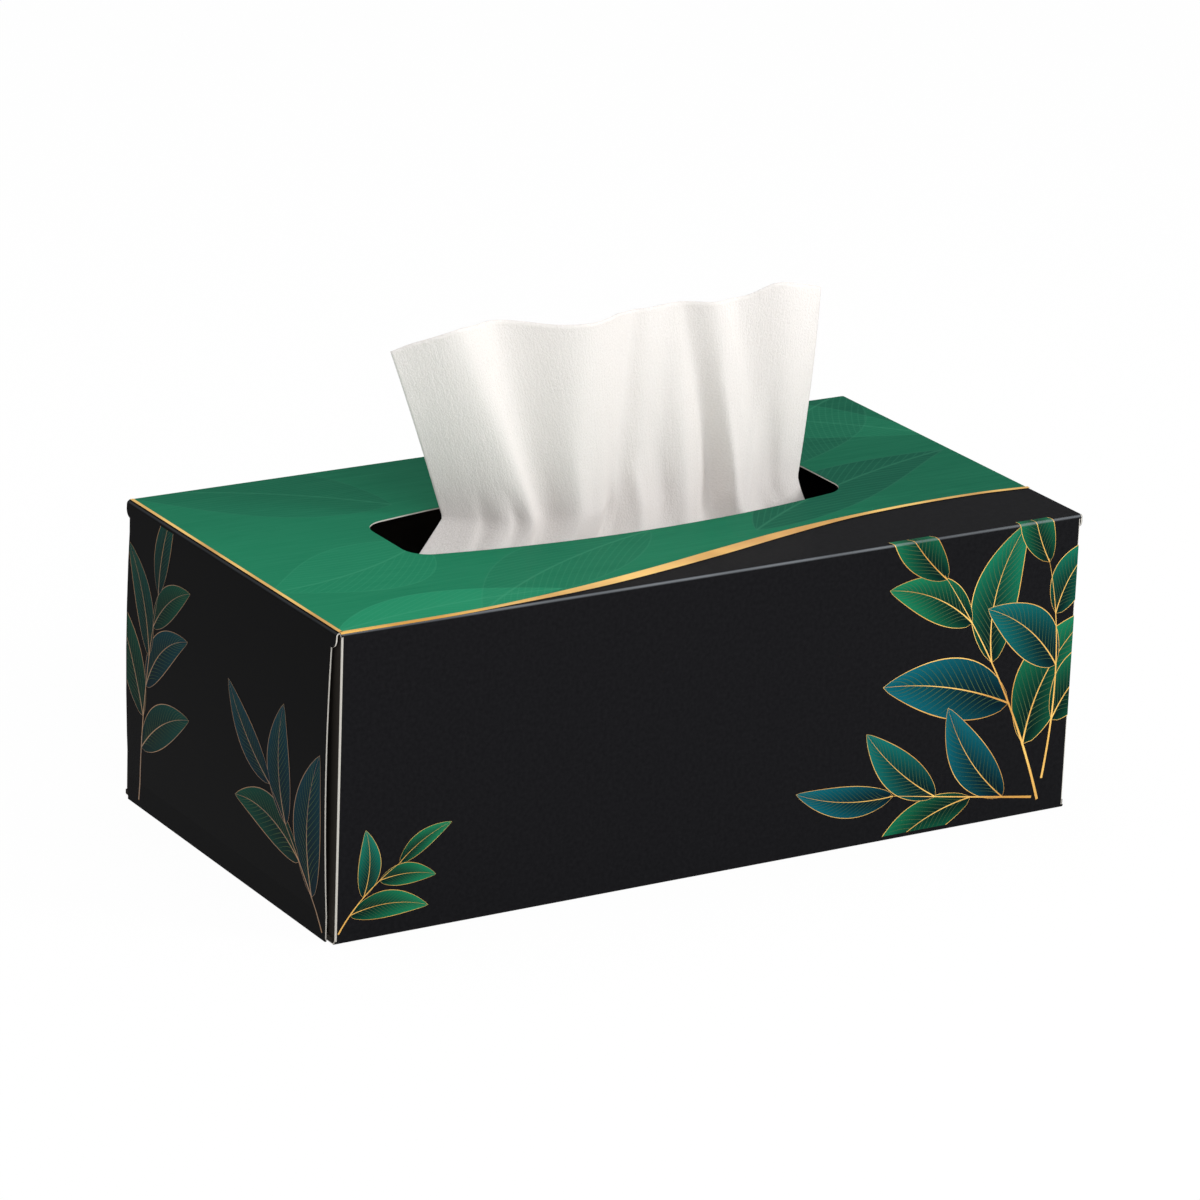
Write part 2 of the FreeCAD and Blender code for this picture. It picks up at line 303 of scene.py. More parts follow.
# %% [markdown]
# ## The pulled tissue
# One thin sheet that stands in a fan over the slot, is gathered where the slot holds it, and lies on the
# stack below. It could be simulated, but its folds are known from the photograph, so each fold is written
# as a line from the top edge to the slot: where it starts, where it ends, and how far it stands out.
# The sheet starts as a flat grid of its real size, and every point is carried to its place along the path.

# %% Tissue: its path down from the top edge
TISSUE_LENGTH = 200.0
TISSUE_WIDTH = 194.0
STANDING = 53.8
TOP_EDGE = (-64.4, 67.7)
WAIST = (-45.1, 61.5)
LANDING_HALF_WIDTH = 76.0
UPPER_LEAF = STACK_TOP + 1.85
LEAF_FOLD_RADIUS = 0.75
LEAF_FOLD_Y = STACK_FRONT + LEAF_FOLD_RADIUS + 0.25
BEND_STEPS = 60


def bend_shares():
    """A bend that tightens as it goes, for a length of 1: (forward, down) after each small step."""
    forward, down = 0.0, 0.0
    shares = [(forward, down)]
    for i in range(BEND_STEPS):
        angle = math.pi / 2 * ((i + 0.5) / BEND_STEPS) ** 2
        forward += math.sin(angle) / BEND_STEPS
        down += math.cos(angle) / BEND_STEPS
        shares.append((forward, down))
    return shares


BEND = bend_shares()
BEND_LENGTH = (HEIGHT - UPPER_LEAF) / BEND[-1][1]
LYING_START = -BEND_LENGTH * BEND[-1][0]
LYING = LYING_START - LEAF_FOLD_Y


def path_down(run):
    """Middle line of the tissue at this length under the slot's level: y, z, and the way to its back."""
    if run < 0:
        return 0.0, HEIGHT - run, 1.0, 0.0
    if run < BEND_LENGTH:
        steps = run / BEND_LENGTH * BEND_STEPS
        i = int(steps)
        part = steps - i
        forward, down = (a + (b - a) * part for a, b in zip(BEND[i], BEND[i + 1]))
        angle = math.pi / 2 * (run / BEND_LENGTH) ** 2
        return -forward * BEND_LENGTH, HEIGHT - down * BEND_LENGTH, math.cos(angle), -math.sin(angle)
    left = run - BEND_LENGTH
    if left < LYING:
        return LYING_START - left, UPPER_LEAF, 0.0, -1.0
    angle = (left - LYING) / LEAF_FOLD_RADIUS
    if angle < math.pi:
        y = LEAF_FOLD_Y - LEAF_FOLD_RADIUS * math.sin(angle)
        z = UPPER_LEAF - LEAF_FOLD_RADIUS * (1 - math.cos(angle))
        return y, z, -math.sin(angle), -math.cos(angle)
    left -= LYING + LEAF_FOLD_RADIUS * math.pi
    return LEAF_FOLD_Y + left, UPPER_LEAF - 2 * LEAF_FOLD_RADIUS, 0.0, 1.0


print("bend length", round(BEND_LENGTH, 2), "ends", path_down(TISSUE_LENGTH - STANDING)[:2])

# %% Tissue: its folds
# A place across the tissue is -1 at its left edge and 1 at its right edge; all other lengths are in
# millimetres. Each fold is (place on the top edge, offset there, place in the slot, offset there).
FOLDS = [
    (-1.00, 7.0, -1.00, 5.0),
    (-0.77, -1.0, -0.68, -4.5),
    (-0.53, 5.2, -0.52, -1.5),
    (-0.18, -4.2, -0.36, -5.0),
    (0.12, 7.0, -0.08, 4.0),
    (0.20, 6.8, 0.04, 2.5),
    (0.28, 7.4, 0.18, 5.0),
    (0.33, 7.5, 0.32, 3.8),
    (0.37, 7.1, 0.48, 7.3),
    (0.48, 3.0, 0.58, 2.8),
    (0.60, 4.2, 0.78, 7.8),
    (0.82, 0.5, 0.88, 6.8),
    (1.00, 3.5, 1.00, 9.0),
]
# How high the top edge stands over the carton, place by place.
TOP_RISE = [
    (-1.00, 49.6),
    (-0.92, 52.4),
    (-0.76, 56.1),
    (-0.64, 55.6),
    (-0.48, 54.9),
    (-0.32, 53.9),
    (-0.16, 53.9),
    (0.00, 53.4),
    (0.10, 52.4),
    (0.34, 52.7),
    (0.54, 52.9),
    (0.64, 53.3),
    (0.76, 56.5),
    (0.88, 55.4),
    (1.00, 52.9),
]
# Each gather is (place in the slot, place on the top edge, how far it is pressed back, half its width as a
# place, how high over the slot it dies out).
GATHERS = [
    (-0.81, -0.86, 1.6, 0.035, 9.0),
    (-0.68, -0.76, 2.0, 0.035, 12.0),
    (-0.60, -0.70, -1.5, 0.045, 48.0),
    (-0.36, -0.26, -1.3, 0.080, 30.0),
    (-0.20, -0.10, -0.8, 0.050, 36.0),
    (-0.11, -0.04, 1.6, 0.030, 9.0),
    (0.05, -0.04, -1.2, 0.040, 16.0),
    (0.22, 0.12, 1.0, 0.050, 26.0),
    (0.50, 0.38, 1.6, 0.035, 50.0),
    (0.58, 0.46, -1.3, 0.035, 50.0),
    (0.68, 0.76, -0.9, 0.040, 40.0),
    (0.84, 0.70, 1.0, 0.040, 30.0),
]
GATHERS_UNDER = 4.0
# The slot holds the tissue a little aslant: its offset there at place 0, and how much that grows to place 1.
SLOT_LINE_MIDDLE = -1.0
SLOT_LINE_SLOPE = -7.0
# Where the way down to the slot comes to its halt, how far under the slot the folds hold and then run
# out, how fast the top's waves die down and the slot's gathers build up, and how fast the rims open.
HALT = 0.15
FOLDS_HOLD = 0.25
FOLDS_RUN_OUT = 0.7
TOP_EASE = 1.15
GATHER_EASE = 1.3
FLARE_START = 0.55
CREASE = 0.9
FINE_CREASE = 0.35
print("folds", len(FOLDS), "gathers", len(GATHERS))


# %% Tissue: how it stands at one height
def flare(under, start):
    """0 at the slot's level to 1 where the tissue lies down; start is how fast it opens at first."""
    t = min(max(under, 0.0), 1.0)
    return t * (start + t * (3 - 3 * start + t * (2 * start - 2)))


def side_edges(share, place):
    """Edges of a fan over the slot (0 to 1) and of a flare under it, where only the rims turn sharply."""
    if share <= 1:
        return tuple(top + (waist - top) * share for top, waist in zip(TOP_EDGE, WAIST))
    landing = (-LANDING_HALF_WIDTH, LANDING_HALF_WIDTH)
    opened = flare(share - 1, FLARE_START * place ** 8)
    return tuple(waist + (land - waist) * opened for waist, land in zip(WAIST, landing))


def eased(share):
    """The share itself over the slot, brought to a soft halt at 1 just under the slot's edge."""
    past = share - (1 - HALT)
    if past <= 0:
        return share
    past = min(past, 2 * HALT)
    return 1 - HALT + past - past * past / (4 * HALT)


def fold_points(share):
    """Fold places and offsets on one row: the top edge's waves die down, the slot's gathers build up."""
    down = eased(share)
    under = max(share - 1 - FOLDS_HOLD, 0.0)
    fade = math.cos(math.pi / 2 * min(under / FOLDS_RUN_OUT, 1.0)) ** 2
    points = []
    for top_place, top_offset, slot_place, slot_offset in FOLDS:
        place = top_place + (slot_place - top_place) * down
        lean = (SLOT_LINE_MIDDLE + SLOT_LINE_SLOPE * slot_place) * down
        offset = top_offset * (1 - down) ** TOP_EASE + slot_offset * down ** GATHER_EASE
        points.append((place, (lean + offset) * fade))
    return points


def gather_at(place, over_slot):
    """Gathers that are deepest just under the slot's edge and die out higher up."""
    total = 0.0
    for slot_place, top_place, depth, half_width, height in GATHERS:
        left = min(max((height - over_slot) / (height + GATHERS_UNDER), 0.0), 1.0)
        middle = slot_place + (top_place - slot_place) * over_slot / STANDING
        total += depth * left * left * (3 - 2 * left) * math.exp(-(((place - middle) / half_width) ** 2))
    return total


def crease_at(place, share):
    """Small soft creases that run down to the slot, in millimetres."""
    down = min(share, 1.3)
    broad = noise.noise(Vector((place * 4.5, share * 1.4, 3.7)))
    fine = noise.noise(Vector((place * 15.0, share * 2.2, 9.1)))
    free = 1 - abs(place) ** 6
    return free * (CREASE * broad * (0.35 + 0.65 * down) + FINE_CREASE * fine * down ** 3)


print("rims at the slot", side_edges(1, 1), "a little under it", side_edges(1.5, 1))


# %% Tissue: from the flat sheet to its place
def offset_at(points, place):
    """The smooth curve through points of (place, value), read at this place."""
    i = 0
    while i < len(points) - 2 and place > points[i + 1][0]:
        i += 1
    span = points[i + 1][0] - points[i][0]
    t = (place - points[i][0]) / span
    slopes = []
    for j in (i, i + 1):
        before = points[max(j - 1, 0)]
        after = points[min(j + 1, len(points) - 1)]
        slopes.append((after[1] - before[1]) / (after[0] - before[0]) * span)
    start = points[i][1] * (1 + 2 * t) * (1 - t) ** 2 + slopes[0] * t * (1 - t) ** 2
    return start + points[i + 1][1] * t * t * (3 - 2 * t) - slopes[1] * t * t * (1 - t)


def half_width_under(run):
    """Half the width of the leaf that lies on the stack, at this length under the slot's level."""
    share = min((run - BEND_LENGTH) / LYING, 1.0)
    return LANDING_HALF_WIDTH + (TISSUE_WIDTH / 2 - LANDING_HALF_WIDTH) * share


def tissue_point(place, run):
    """Where the point at this place across (-1 to 1) and this length down ends up, in metres."""
    y, z, back_y, back_z = path_down(run - STANDING)
    if run < STANDING + BEND_LENGTH:
        share = run / STANDING if run < STANDING else 1 + (run - STANDING) / BEND_LENGTH
        if run < STANDING:
            z = HEIGHT + offset_at(TOP_RISE, place) * (1 - share)
        left, right = side_edges(share, place)
        small = crease_at(place, share) + gather_at(place, STANDING * (1 - share))
        reach = offset_at(fold_points(share), place) + small * min(2 - share, 1)
    else:
        half = half_width_under(run - STANDING)
        left, right = -half, half
        reach = 0.0
    x = (left + right) / 2 + (right - left) / 2 * place
    return Vector((x, y + back_y * reach, z + back_z * reach)) * MM


print("top left corner at", tuple(round(v, 4) for v in tissue_point(-1, 0)))

# %% Tissue: the sheet
ACROSS = 260
DOWN = 170
PAPER_THICKNESS = 0.2


def add_tissue():
    bm = bmesh.new()
    uv = bm.loops.layers.uv.new("sheet")
    bmesh.ops.create_grid(bm, x_segments=ACROSS, y_segments=DOWN, size=1.0)
    for face in bm.faces:
        for loop in face.loops:
            loop[uv].uv = (loop.vert.co.x * TISSUE_WIDTH / 2, loop.vert.co.y * TISSUE_LENGTH / 2)
    for vert in bm.verts:
        run = (1 - vert.co.y) / 2 * TISSUE_LENGTH
        vert.co = tissue_point(vert.co.x, run)
    sheet = make_object("tissue", bm)
    for polygon in sheet.data.polygons:
        polygon.use_smooth = True
    return sheet


tissue = add_tissue()
solid = tissue.modifiers.new("paper", "SOLIDIFY")
solid.thickness = PAPER_THICKNESS * MM
solid.offset = 0.0
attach(tissue, "root")
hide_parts("pulled_tissue")
print("tissue faces", len(tissue.data.polygons))

# %% Tissue: its paper
PAPER_HOLLOWS = colour(230, 224, 219)
PAPER_RISES = colour(239, 233, 229)
LEAF_SHADOW = colour(150, 146, 140)
LEAF_THICKNESS = 1.1


def paper_grain_group():
    """Soft crepe grain: a height for bumps and a mask for a slight mottle, from a place in millimetres."""
    tree, entry, leave = new_group("paper grain", ["Place"], [], ["Height", "Mottle"])
    fine = cloud(tree, entry[0], 1.7, 3.0, 0.6)
    ripple = cloud(tree, stretched(tree, entry[0], (0.9, 0.25, 0.9)), 1.0, 2.0)
    wire(tree, maths(tree, "ADD", fine, maths(tree, "MULTIPLY", ripple, 0.7)), leave[0])
    wire(tree, step(tree, fine, 0.3, 0.7), leave[1])
    return tree


paper_grain = paper_grain_group()


def paper_shader(tree, place):
    """The paper's shader without its colour, and the colour that it should get."""
    shader = principled(tree)
    height, mottle = use_group(tree, paper_grain, place)[:2]
    bump = tree.nodes.new("ShaderNodeBump")
    bump.inputs["Strength"].default_value = 0.5
    bump.inputs["Distance"].default_value = 0.0004
    wire(tree, height, bump.inputs["Height"])
    wire(tree, bump.outputs[0], shader.inputs["Normal"])
    shader.inputs["Roughness"].default_value = 0.9
    shader.inputs["Specular IOR Level"].default_value = 0.1
    return shader, blend(tree, mottle, PAPER_HOLLOWS, PAPER_RISES)


def pulled_paper():
    material, tree = new_material("soft tissue paper")
    sheet_place = tree.nodes.new("ShaderNodeUVMap")
    sheet_place.uv_map = "sheet"
    shader, shown = paper_shader(tree, sheet_place.outputs[0])
    wire(tree, shown, shader.inputs["Base Color"])
    shader.inputs["Subsurface Weight"].default_value = 0.3
    shader.inputs["Subsurface Radius"].default_value = (1.0, 0.95, 0.9)
    shader.inputs["Subsurface Scale"].default_value = 0.002
    return material


def stacked_paper():
    """The same paper, with a fine shadow line between one folded leaf and the next."""
    material, tree = new_material("stacked tissue paper")
    place = stretched(tree, object_place(tree), (1 / MM, 1 / MM, 1 / MM))
    shader, shown = paper_shader(tree, place)
    drift = maths(tree, "MULTIPLY", cloud(tree, place, 0.03), 3.0)
    height = maths(tree, "ADD", parts_of(tree, place)[2], drift)
    layer = maths(tree, "FRACT", maths(tree, "DIVIDE", height, LEAF_THICKNESS))
    line = step(tree, maths(tree, "ABSOLUTE", maths(tree, "SUBTRACT", layer, 0.5)), 0.36, 0.5)
    facing = tree.nodes.new("ShaderNodeNewGeometry").outputs["Normal"]
    on_side = step(tree, maths(tree, "ABSOLUTE", parts_of(tree, facing)[2]), 0.95, 0.8)
    shown = blend(tree, maths(tree, "MULTIPLY", line, on_side), shown, LEAF_SHADOW)
    wire(tree, shown, shader.inputs["Base Color"])
    return material


tissue.data.materials.append(pulled_paper())
stack.material_slots[0].material = stacked_paper()
print("paper materials", [m.name for m in bpy.data.materials if "paper" in m.name])

# %% [markdown]
# ## The carton's board and print
# The carton is one mesh, so one material has to tell the printed outside from the raw edges and the bare
# inside. It measures how deep a point lies under the outer skin of the rounded box: nothing on the print,
# half a millimetre on the inside, and anything between on a cut edge.

# %% Carton: how deep a point lies under the skin
def board_depth_group():
    """Depth under the carton's outer skin, in millimetres."""
    tree, entry, leave = new_group("board depth", ["Place"], [], ["Depth"])
    x, y, z = in_millimetres(tree, entry[0])
    flap_middle = (FLAP_GLUED + HEIGHT - FOLD) / 2
    flap_half = (HEIGHT - FOLD - FLAP_GLUED) / 2
    level = maths(tree, "DIVIDE", maths(tree, "SUBTRACT", z, flap_middle), flap_half)
    bow = maths(tree, "SUBTRACT", 1.0, maths(tree, "MULTIPLY", level, level))
    bow = maths(tree, "MULTIPLY", maths(tree, "MAXIMUM", bow, 0.0), FLAP_BOW)
    past_x = maths(tree, "SUBTRACT", maths(tree, "ABSOLUTE", x), bow)
    past_x = maths(tree, "SUBTRACT", past_x, HALF_LENGTH - FOLD)
    past_y = maths(tree, "SUBTRACT", maths(tree, "ABSOLUTE", y), HALF_WIDTH - FOLD)
    past_z = maths(tree, "ABSOLUTE", maths(tree, "SUBTRACT", z, HEIGHT / 2))
    past_z = maths(tree, "SUBTRACT", past_z, HEIGHT / 2 - FOLD)
    most = maths(tree, "MAXIMUM", maths(tree, "MAXIMUM", past_x, past_y), past_z)
    past = (past_x, past_y, past_z)
    squares = [maths(tree, "POWER", maths(tree, "MAXIMUM", p, 0.0), 2.0) for p in past]
    far = maths(tree, "SQRT", maths(tree, "ADD", maths(tree, "ADD", squares[0], squares[1]), squares[2]))
    skin = maths(tree, "ADD", far, maths(tree, "MINIMUM", most, 0.0))
    wire(tree, maths(tree, "SUBTRACT", FOLD, skin), leave[0])
    return tree


board_depth = board_depth_group()
print("group", board_depth.name)

# %% Carton: the sweep between the green and the black
LEFT_BAND_X = -113.6
LEFT_BAND_WIDTH = 1.1
# The middle line of the gold band on the top panel, and its width: (x, y, width).
SWEEP = [
    (-114.0, -59.2, 1.2),
    (-75.0, -58.9, 1.3),
    (-53.4, -57.2, 2.3),
    (-34.4, -54.6, 3.4),
    (-13.9, -50.5, 3.9),
    (8.3, -45.2, 4.3),
    (31.4, -39.6, 3.6),
    (54.5, -35.3, 1.9),
    (77.0, -33.1, 1.5),
    (99.0, -32.7, 1.5),
    (114.6, -34.0, 1.4),
]


def sweep_curve(tree, x):
    """y of the sweep over x, both in millimetres."""
    node = tree.nodes.new("ShaderNodeFloatCurve")
    curve = node.mapping.curves[0]
    spots = []
    for band_x, band_y, width in SWEEP:
        spots.append(((band_x + HALF_LENGTH) / (2 * HALF_LENGTH), (band_y + HALF_WIDTH) / HALF_WIDTH))
    curve.points[0].location = spots[0]
    curve.points[1].location = spots[-1]
    for spot in spots[1:-1]:
        curve.points.new(*spot)
    node.mapping.update()
    share = maths(tree, "DIVIDE", maths(tree, "ADD", x, HALF_LENGTH), 2 * HALF_LENGTH)
    wire(tree, share, node.inputs["Value"])
    return maths(tree, "SUBTRACT", maths(tree, "MULTIPLY", node.outputs[0], HALF_WIDTH), HALF_WIDTH)


print("sweep points", len(SWEEP))

# %% [markdown]
# ## Large leaves on the green
# The green top has broad leaves tone on tone, hardly darker or lighter than the ground, with fine veins.
# They run under the slot and the gold band, so they are drawn by the shader: each leaf is a length and a
# distance to its side, and the carton's own edges cut it.

# %% Carton: one pale leaf
# Each pale leaf is (base x, base y, angle in degrees, length, width, sag, how much darker or lighter).
PALE_LEAVES = [
    (-114, -58, 4, 70, 22, 4, 0.40),
    (-52, 26, 150, 76, 40, -6, -0.20),
    (-60, -4, 200, 60, 34, 5, 0.10),
    (0, -22, 208, 84, 30, -5, -0.12),
    (26, -34, 24, 96, 26, 5, -0.45),
    (116, 62, 224, 84, 40, -7, -0.28),
    (52, 62, -34, 80, 34, 6, 0.12),
    (-30, 28, 24, 84, 30, -5, 0.12),
]
VEIN_SLANT = 0.42
VEIN_SPACING = 1.9


def pale_leaf_group():
    """Mask of one large leaf on the top panel, and of its veins. Lengths in millimetres."""
    inputs = ["Along", "Aside", "Length", "Width", "Sag"]
    tree, entry, leave = new_group("pale leaf", [], inputs, ["Fill", "Veins"])
    along, aside, length, width, sag = entry[:5]
    share = step(tree, maths(tree, "DIVIDE", along, length), 0.0, 1.0)
    bow = maths(tree, "MULTIPLY", share, maths(tree, "SUBTRACT", 1.0, share))
    bow = maths(tree, "MULTIPLY", maths(tree, "MULTIPLY", bow, 4.0), sag)
    off = maths(tree, "ABSOLUTE", maths(tree, "SUBTRACT", aside, bow))
    swell = maths(tree, "SINE", maths(tree, "MULTIPLY", maths(tree, "POWER", share, 0.8), math.pi))
    half = maths(tree, "MULTIPLY", maths(tree, "MULTIPLY", width, 0.5), swell)
    fill = step(tree, maths(tree, "SUBTRACT", half, off), 0.0, 0.5)
    run = maths(tree, "SUBTRACT", maths(tree, "MULTIPLY", along, VEIN_SLANT), off)
    wave = maths(tree, "FRACT", maths(tree, "DIVIDE", run, VEIN_SPACING))
    fine = step(tree, maths(tree, "ABSOLUTE", maths(tree, "SUBTRACT", wave, 0.5)), 0.36, 0.5)
    rib = step(tree, off, 0.5, 0.2)
    rim = step(tree, maths(tree, "SUBTRACT", half, off), 0.7, 0.3)
    lines = maths(tree, "MAXIMUM", maths(tree, "MULTIPLY", fine, 0.6), maths(tree, "MAXIMUM", rib, rim))
    wire(tree, fill, leave[0])
    wire(tree, maths(tree, "MULTIPLY", lines, fill), leave[1])
    return tree


pale_leaf = pale_leaf_group()
print("pale leaves", len(PALE_LEAVES))

# %% [markdown]
# ## Light on the folds
# The folds get a painted highlight: board and ink are made paler where the board is folded, in place of
# the light that the small radius catches. The folds lie where two of the box's faces end at once, so a mask
# is worked out from the place alone and is used by the board and by the ink that crosses the fold.

# %% Carton: the folds' shine
# How strong the painted highlight on the folds is at most, and its colour.
SHINE = 0.38
PAINTED_HIGHLIGHT_COLOUR = colour(166, 172, 178)
SHINE_FULL = 0.72 * FOLD
# The share of the shine that the upright folds have, and that the folds over the ends keep.
SIDE_SHARE = 0.25
END_SHARE = 0.25


def painted_fold_highlight_group():
    """Mask of the folds, where a highlight is painted into the colour."""
    tree, entry, leave = new_group("painted fold highlight", ["Place"], [], ["Mask"])
    x, y, z = in_millimetres(tree, entry[0])
    past_x = maths(tree, "SUBTRACT", maths(tree, "ABSOLUTE", x), HALF_LENGTH - FOLD)
    past_y = maths(tree, "SUBTRACT", maths(tree, "ABSOLUTE", y), HALF_WIDTH - FOLD)
    past_z = maths(tree, "SUBTRACT", z, HEIGHT - FOLD)
    top_fold = maths(tree, "MINIMUM", past_z, maths(tree, "MAXIMUM", past_x, past_y))
    side_fold = maths(tree, "MINIMUM", past_x, past_y)
    top_shine = step(tree, top_fold, 0.2 * FOLD, SHINE_FULL, smooth=True)
    off_ends = step(tree, past_x, 0.0, -0.5, smooth=True)
    kept = maths(tree, "ADD", maths(tree, "MULTIPLY", off_ends, 1 - END_SHARE), END_SHARE)
    top_shine = maths(tree, "MULTIPLY", top_shine, kept)
    side_shine = maths(tree, "MULTIPLY", step(tree, side_fold, 0.0, SHINE_FULL, smooth=True), SIDE_SHARE)
    uneven = step(tree, cloud(tree, entry[0], 45.0, 3.0), 0.2, 0.7)
    uneven = maths(tree, "ADD", maths(tree, "MULTIPLY", uneven, 0.5), 0.5)
    shine = maths(tree, "MULTIPLY", maths(tree, "MAXIMUM", top_shine, side_shine), uneven)
    wire(tree, maths(tree, "MULTIPLY", shine, SHINE), leave[0])
    return tree


painted_fold_highlight = painted_fold_highlight_group()


def with_painted_fold_highlight(tree, place, shown):
    """The same colour, made paler by a painted highlight where the board is folded."""
    return blend(tree, use_group(tree, painted_fold_highlight, place)[0], shown, PAINTED_HIGHLIGHT_COLOUR)


print("group", painted_fold_highlight.name)


# %% Carton: the green of the top panel
GREEN_FAR = colour(12, 92, 66)
GREEN_NEAR = colour(24, 122, 86)
GREEN_CLOUDS = colour(8, 74, 58)
GREEN_STREAKS = colour(60, 148, 112)
LEAF_LIGHTER = colour(38, 150, 108)
LEAF_DARKER = colour(6, 58, 50)
LEAF_LINES = colour(84, 168, 132)


def top_green(tree, place, x, y):
    """Green of the top panel: deeper towards the back right, with large leaves tone on tone."""
    corner = step(tree, maths(tree, "ADD", x, y), 90.0, -150.0, smooth=True)
    shown = blend(tree, corner, GREEN_FAR, GREEN_NEAR)
    shown = blend(tree, maths(tree, "MULTIPLY", cloud(tree, place, 22.0, 4.0), 0.35), shown, GREEN_CLOUDS)
    streaks = step(tree, cloud(tree, stretched(tree, place, (40, 800, 40)), 1.0, 3.0, 0.6, 1.5), 0.3, 0.7)
    shown = blend(tree, maths(tree, "MULTIPLY", streaks, 0.14), shown, GREEN_STREAKS)
    for base_x, base_y, angle, length, width, sag, tone in PALE_LEAVES:
        c, s = math.cos(math.radians(angle)), math.sin(math.radians(angle))
        from_x = maths(tree, "SUBTRACT", x, base_x)
        from_y = maths(tree, "SUBTRACT", y, base_y)
        along = maths(tree, "MULTIPLY", from_x, c)
        along = maths(tree, "ADD", along, maths(tree, "MULTIPLY", from_y, s))
        aside = maths(tree, "MULTIPLY", from_y, c)
        aside = maths(tree, "SUBTRACT", aside, maths(tree, "MULTIPLY", from_x, s))
        fill, veins = use_group(tree, pale_leaf, along, aside, length, width, sag)[:2]
        toned = LEAF_LIGHTER if tone > 0 else LEAF_DARKER
        shown = blend(tree, maths(tree, "MULTIPLY", fill, abs(tone)), shown, toned)
        shown = blend(tree, maths(tree, "MULTIPLY", veins, 0.16), shown, LEAF_LINES)
    return shown


print("green from", GREEN_FAR, "to", GREEN_NEAR)

# %% Carton: the printed board, its raw edges and its inside
BLACK_LOW = colour(14, 14, 16)
BLACK_HIGH = colour(28, 28, 30)
# A darker black for the left end, as painted shade: that end gets the least light.
SHADED_END_BLACK = colour(11, 11, 12)
RAW_EDGE = colour(200, 196, 188)
# The bare inside: grey board, painted much darker here as shade for the dim inside of the box.
BARE_INSIDE_WITH_PAINTED_SHADE = colour(40, 37, 34)
# How deep under the skin the raw edge and the bare inside start, and how softly.
EDGE_DEPTH = 0.06
INSIDE_DEPTH = 0.42
SOFTNESS = 0.04


def carton_print():
    material, tree = new_material("printed carton board")
    shader = principled(tree)
    place = object_place(tree)
    x, y, z = in_millimetres(tree, place)
    depth = use_group(tree, board_depth, place)[0]
    on_top = step(tree, z, HEIGHT - 0.35, HEIGHT - 0.25)
    behind = step(tree, maths(tree, "SUBTRACT", y, sweep_curve(tree, x)), -0.1, 0.1)
    inside_band = step(tree, x, LEFT_BAND_X - 0.5, LEFT_BAND_X)
    green = maths(tree, "MULTIPLY", maths(tree, "MULTIPLY", on_top, behind), inside_band)
    black = blend(tree, cloud(tree, place, 900.0, 3.0), BLACK_LOW, BLACK_HIGH)
    # Painted shade: the left end's black is made darker.
    left_end_painted_shade = step(tree, x, -HALF_LENGTH + 1.2, -HALF_LENGTH + 0.8)
    black = blend(tree, left_end_painted_shade, black, SHADED_END_BLACK)
    printed = blend(tree, green, black, top_green(tree, place, x, y))
    # Painted highlight where the board is folded.
    printed = with_painted_fold_highlight(tree, place, printed)
    edge = step(tree, depth, EDGE_DEPTH, EDGE_DEPTH + SOFTNESS)
    inside = step(tree, depth, INSIDE_DEPTH, INSIDE_DEPTH + SOFTNESS)
    shown = blend(tree, edge, printed, RAW_EDGE)
    # The inside gets the bare board's colour darkened as painted shade.
    shown = blend(tree, inside, shown, BARE_INSIDE_WITH_PAINTED_SHADE)
    wire(tree, shown, shader.inputs["Base Color"])
    shader.inputs["Roughness"].default_value = 0.4
    shader.inputs["Specular IOR Level"].default_value = 0.01
    return material


carton.material_slots[0].material = carton_print()
print("carton material", carton.material_slots[0].material.name)

# %% [markdown]
# ## Laying print on the folded board
# Print is drawn flat, as it is on the press, and then wrapped round the box with the board: first up the
# front, over the fold and on to the top, or up the bowed end. Each shape is cut at the fold before it is
# wrapped, so that it follows the fold's small radius. Ink is thin, but two layers of it need a little
# height between them here, so that one shows in front of the other.

# %% Print: wrapping flat shapes round the box
# How high the first ink lies over the board, and each further layer over the one before.
INK = 0.03
LAYER = 0.002
FOLD_START = HEIGHT - FOLD
FOLD_LENGTH = FOLD * math.pi / 2
FOLD_CUTS = 6


def run_up(y):
    """How far up the blank a place on the top panel lies, from the front panel's foot."""
    return FOLD_START + FOLD_LENGTH + y + HALF_WIDTH - FOLD


def wrap_front(x, up, lift):
    """Front panel, front fold and top panel."""
    if up <= FOLD_START:
        return Vector((x, -HALF_WIDTH - lift, up)) * MM
    angle = (up - FOLD_START) / FOLD
    if angle < math.pi / 2:
        y = -HALF_WIDTH + FOLD - (FOLD + lift) * math.cos(angle)
        return Vector((x, y, FOLD_START + (FOLD + lift) * math.sin(angle))) * MM
    y = -HALF_WIDTH + FOLD + up - FOLD_START - FOLD_LENGTH
    return Vector((x, y, HEIGHT + lift)) * MM


def wrap_end(side):
    """An end flap, -1 left or 1 right, which bows out between its glued foot and its fold."""

    def wrap(across, up, lift):
        level = (2 * up - FLAP_GLUED - FOLD_START) / (FOLD_START - FLAP_GLUED)
        bow = FLAP_BOW * max(1 - level * level, 0.0)
        return Vector((side * (HALF_LENGTH + bow + lift), side * across, up)) * MM

    return wrap


def cut_flat(bm, place, normal, clear=False):
    """Cuts the flat print along a line, and may drop what lies beyond it."""
    geometry = bm.verts[:] + bm.edges[:] + bm.faces[:]
    bmesh.ops.bisect_plane(bm, geom=geometry, plane_co=place, plane_no=normal, clear_outer=clear)


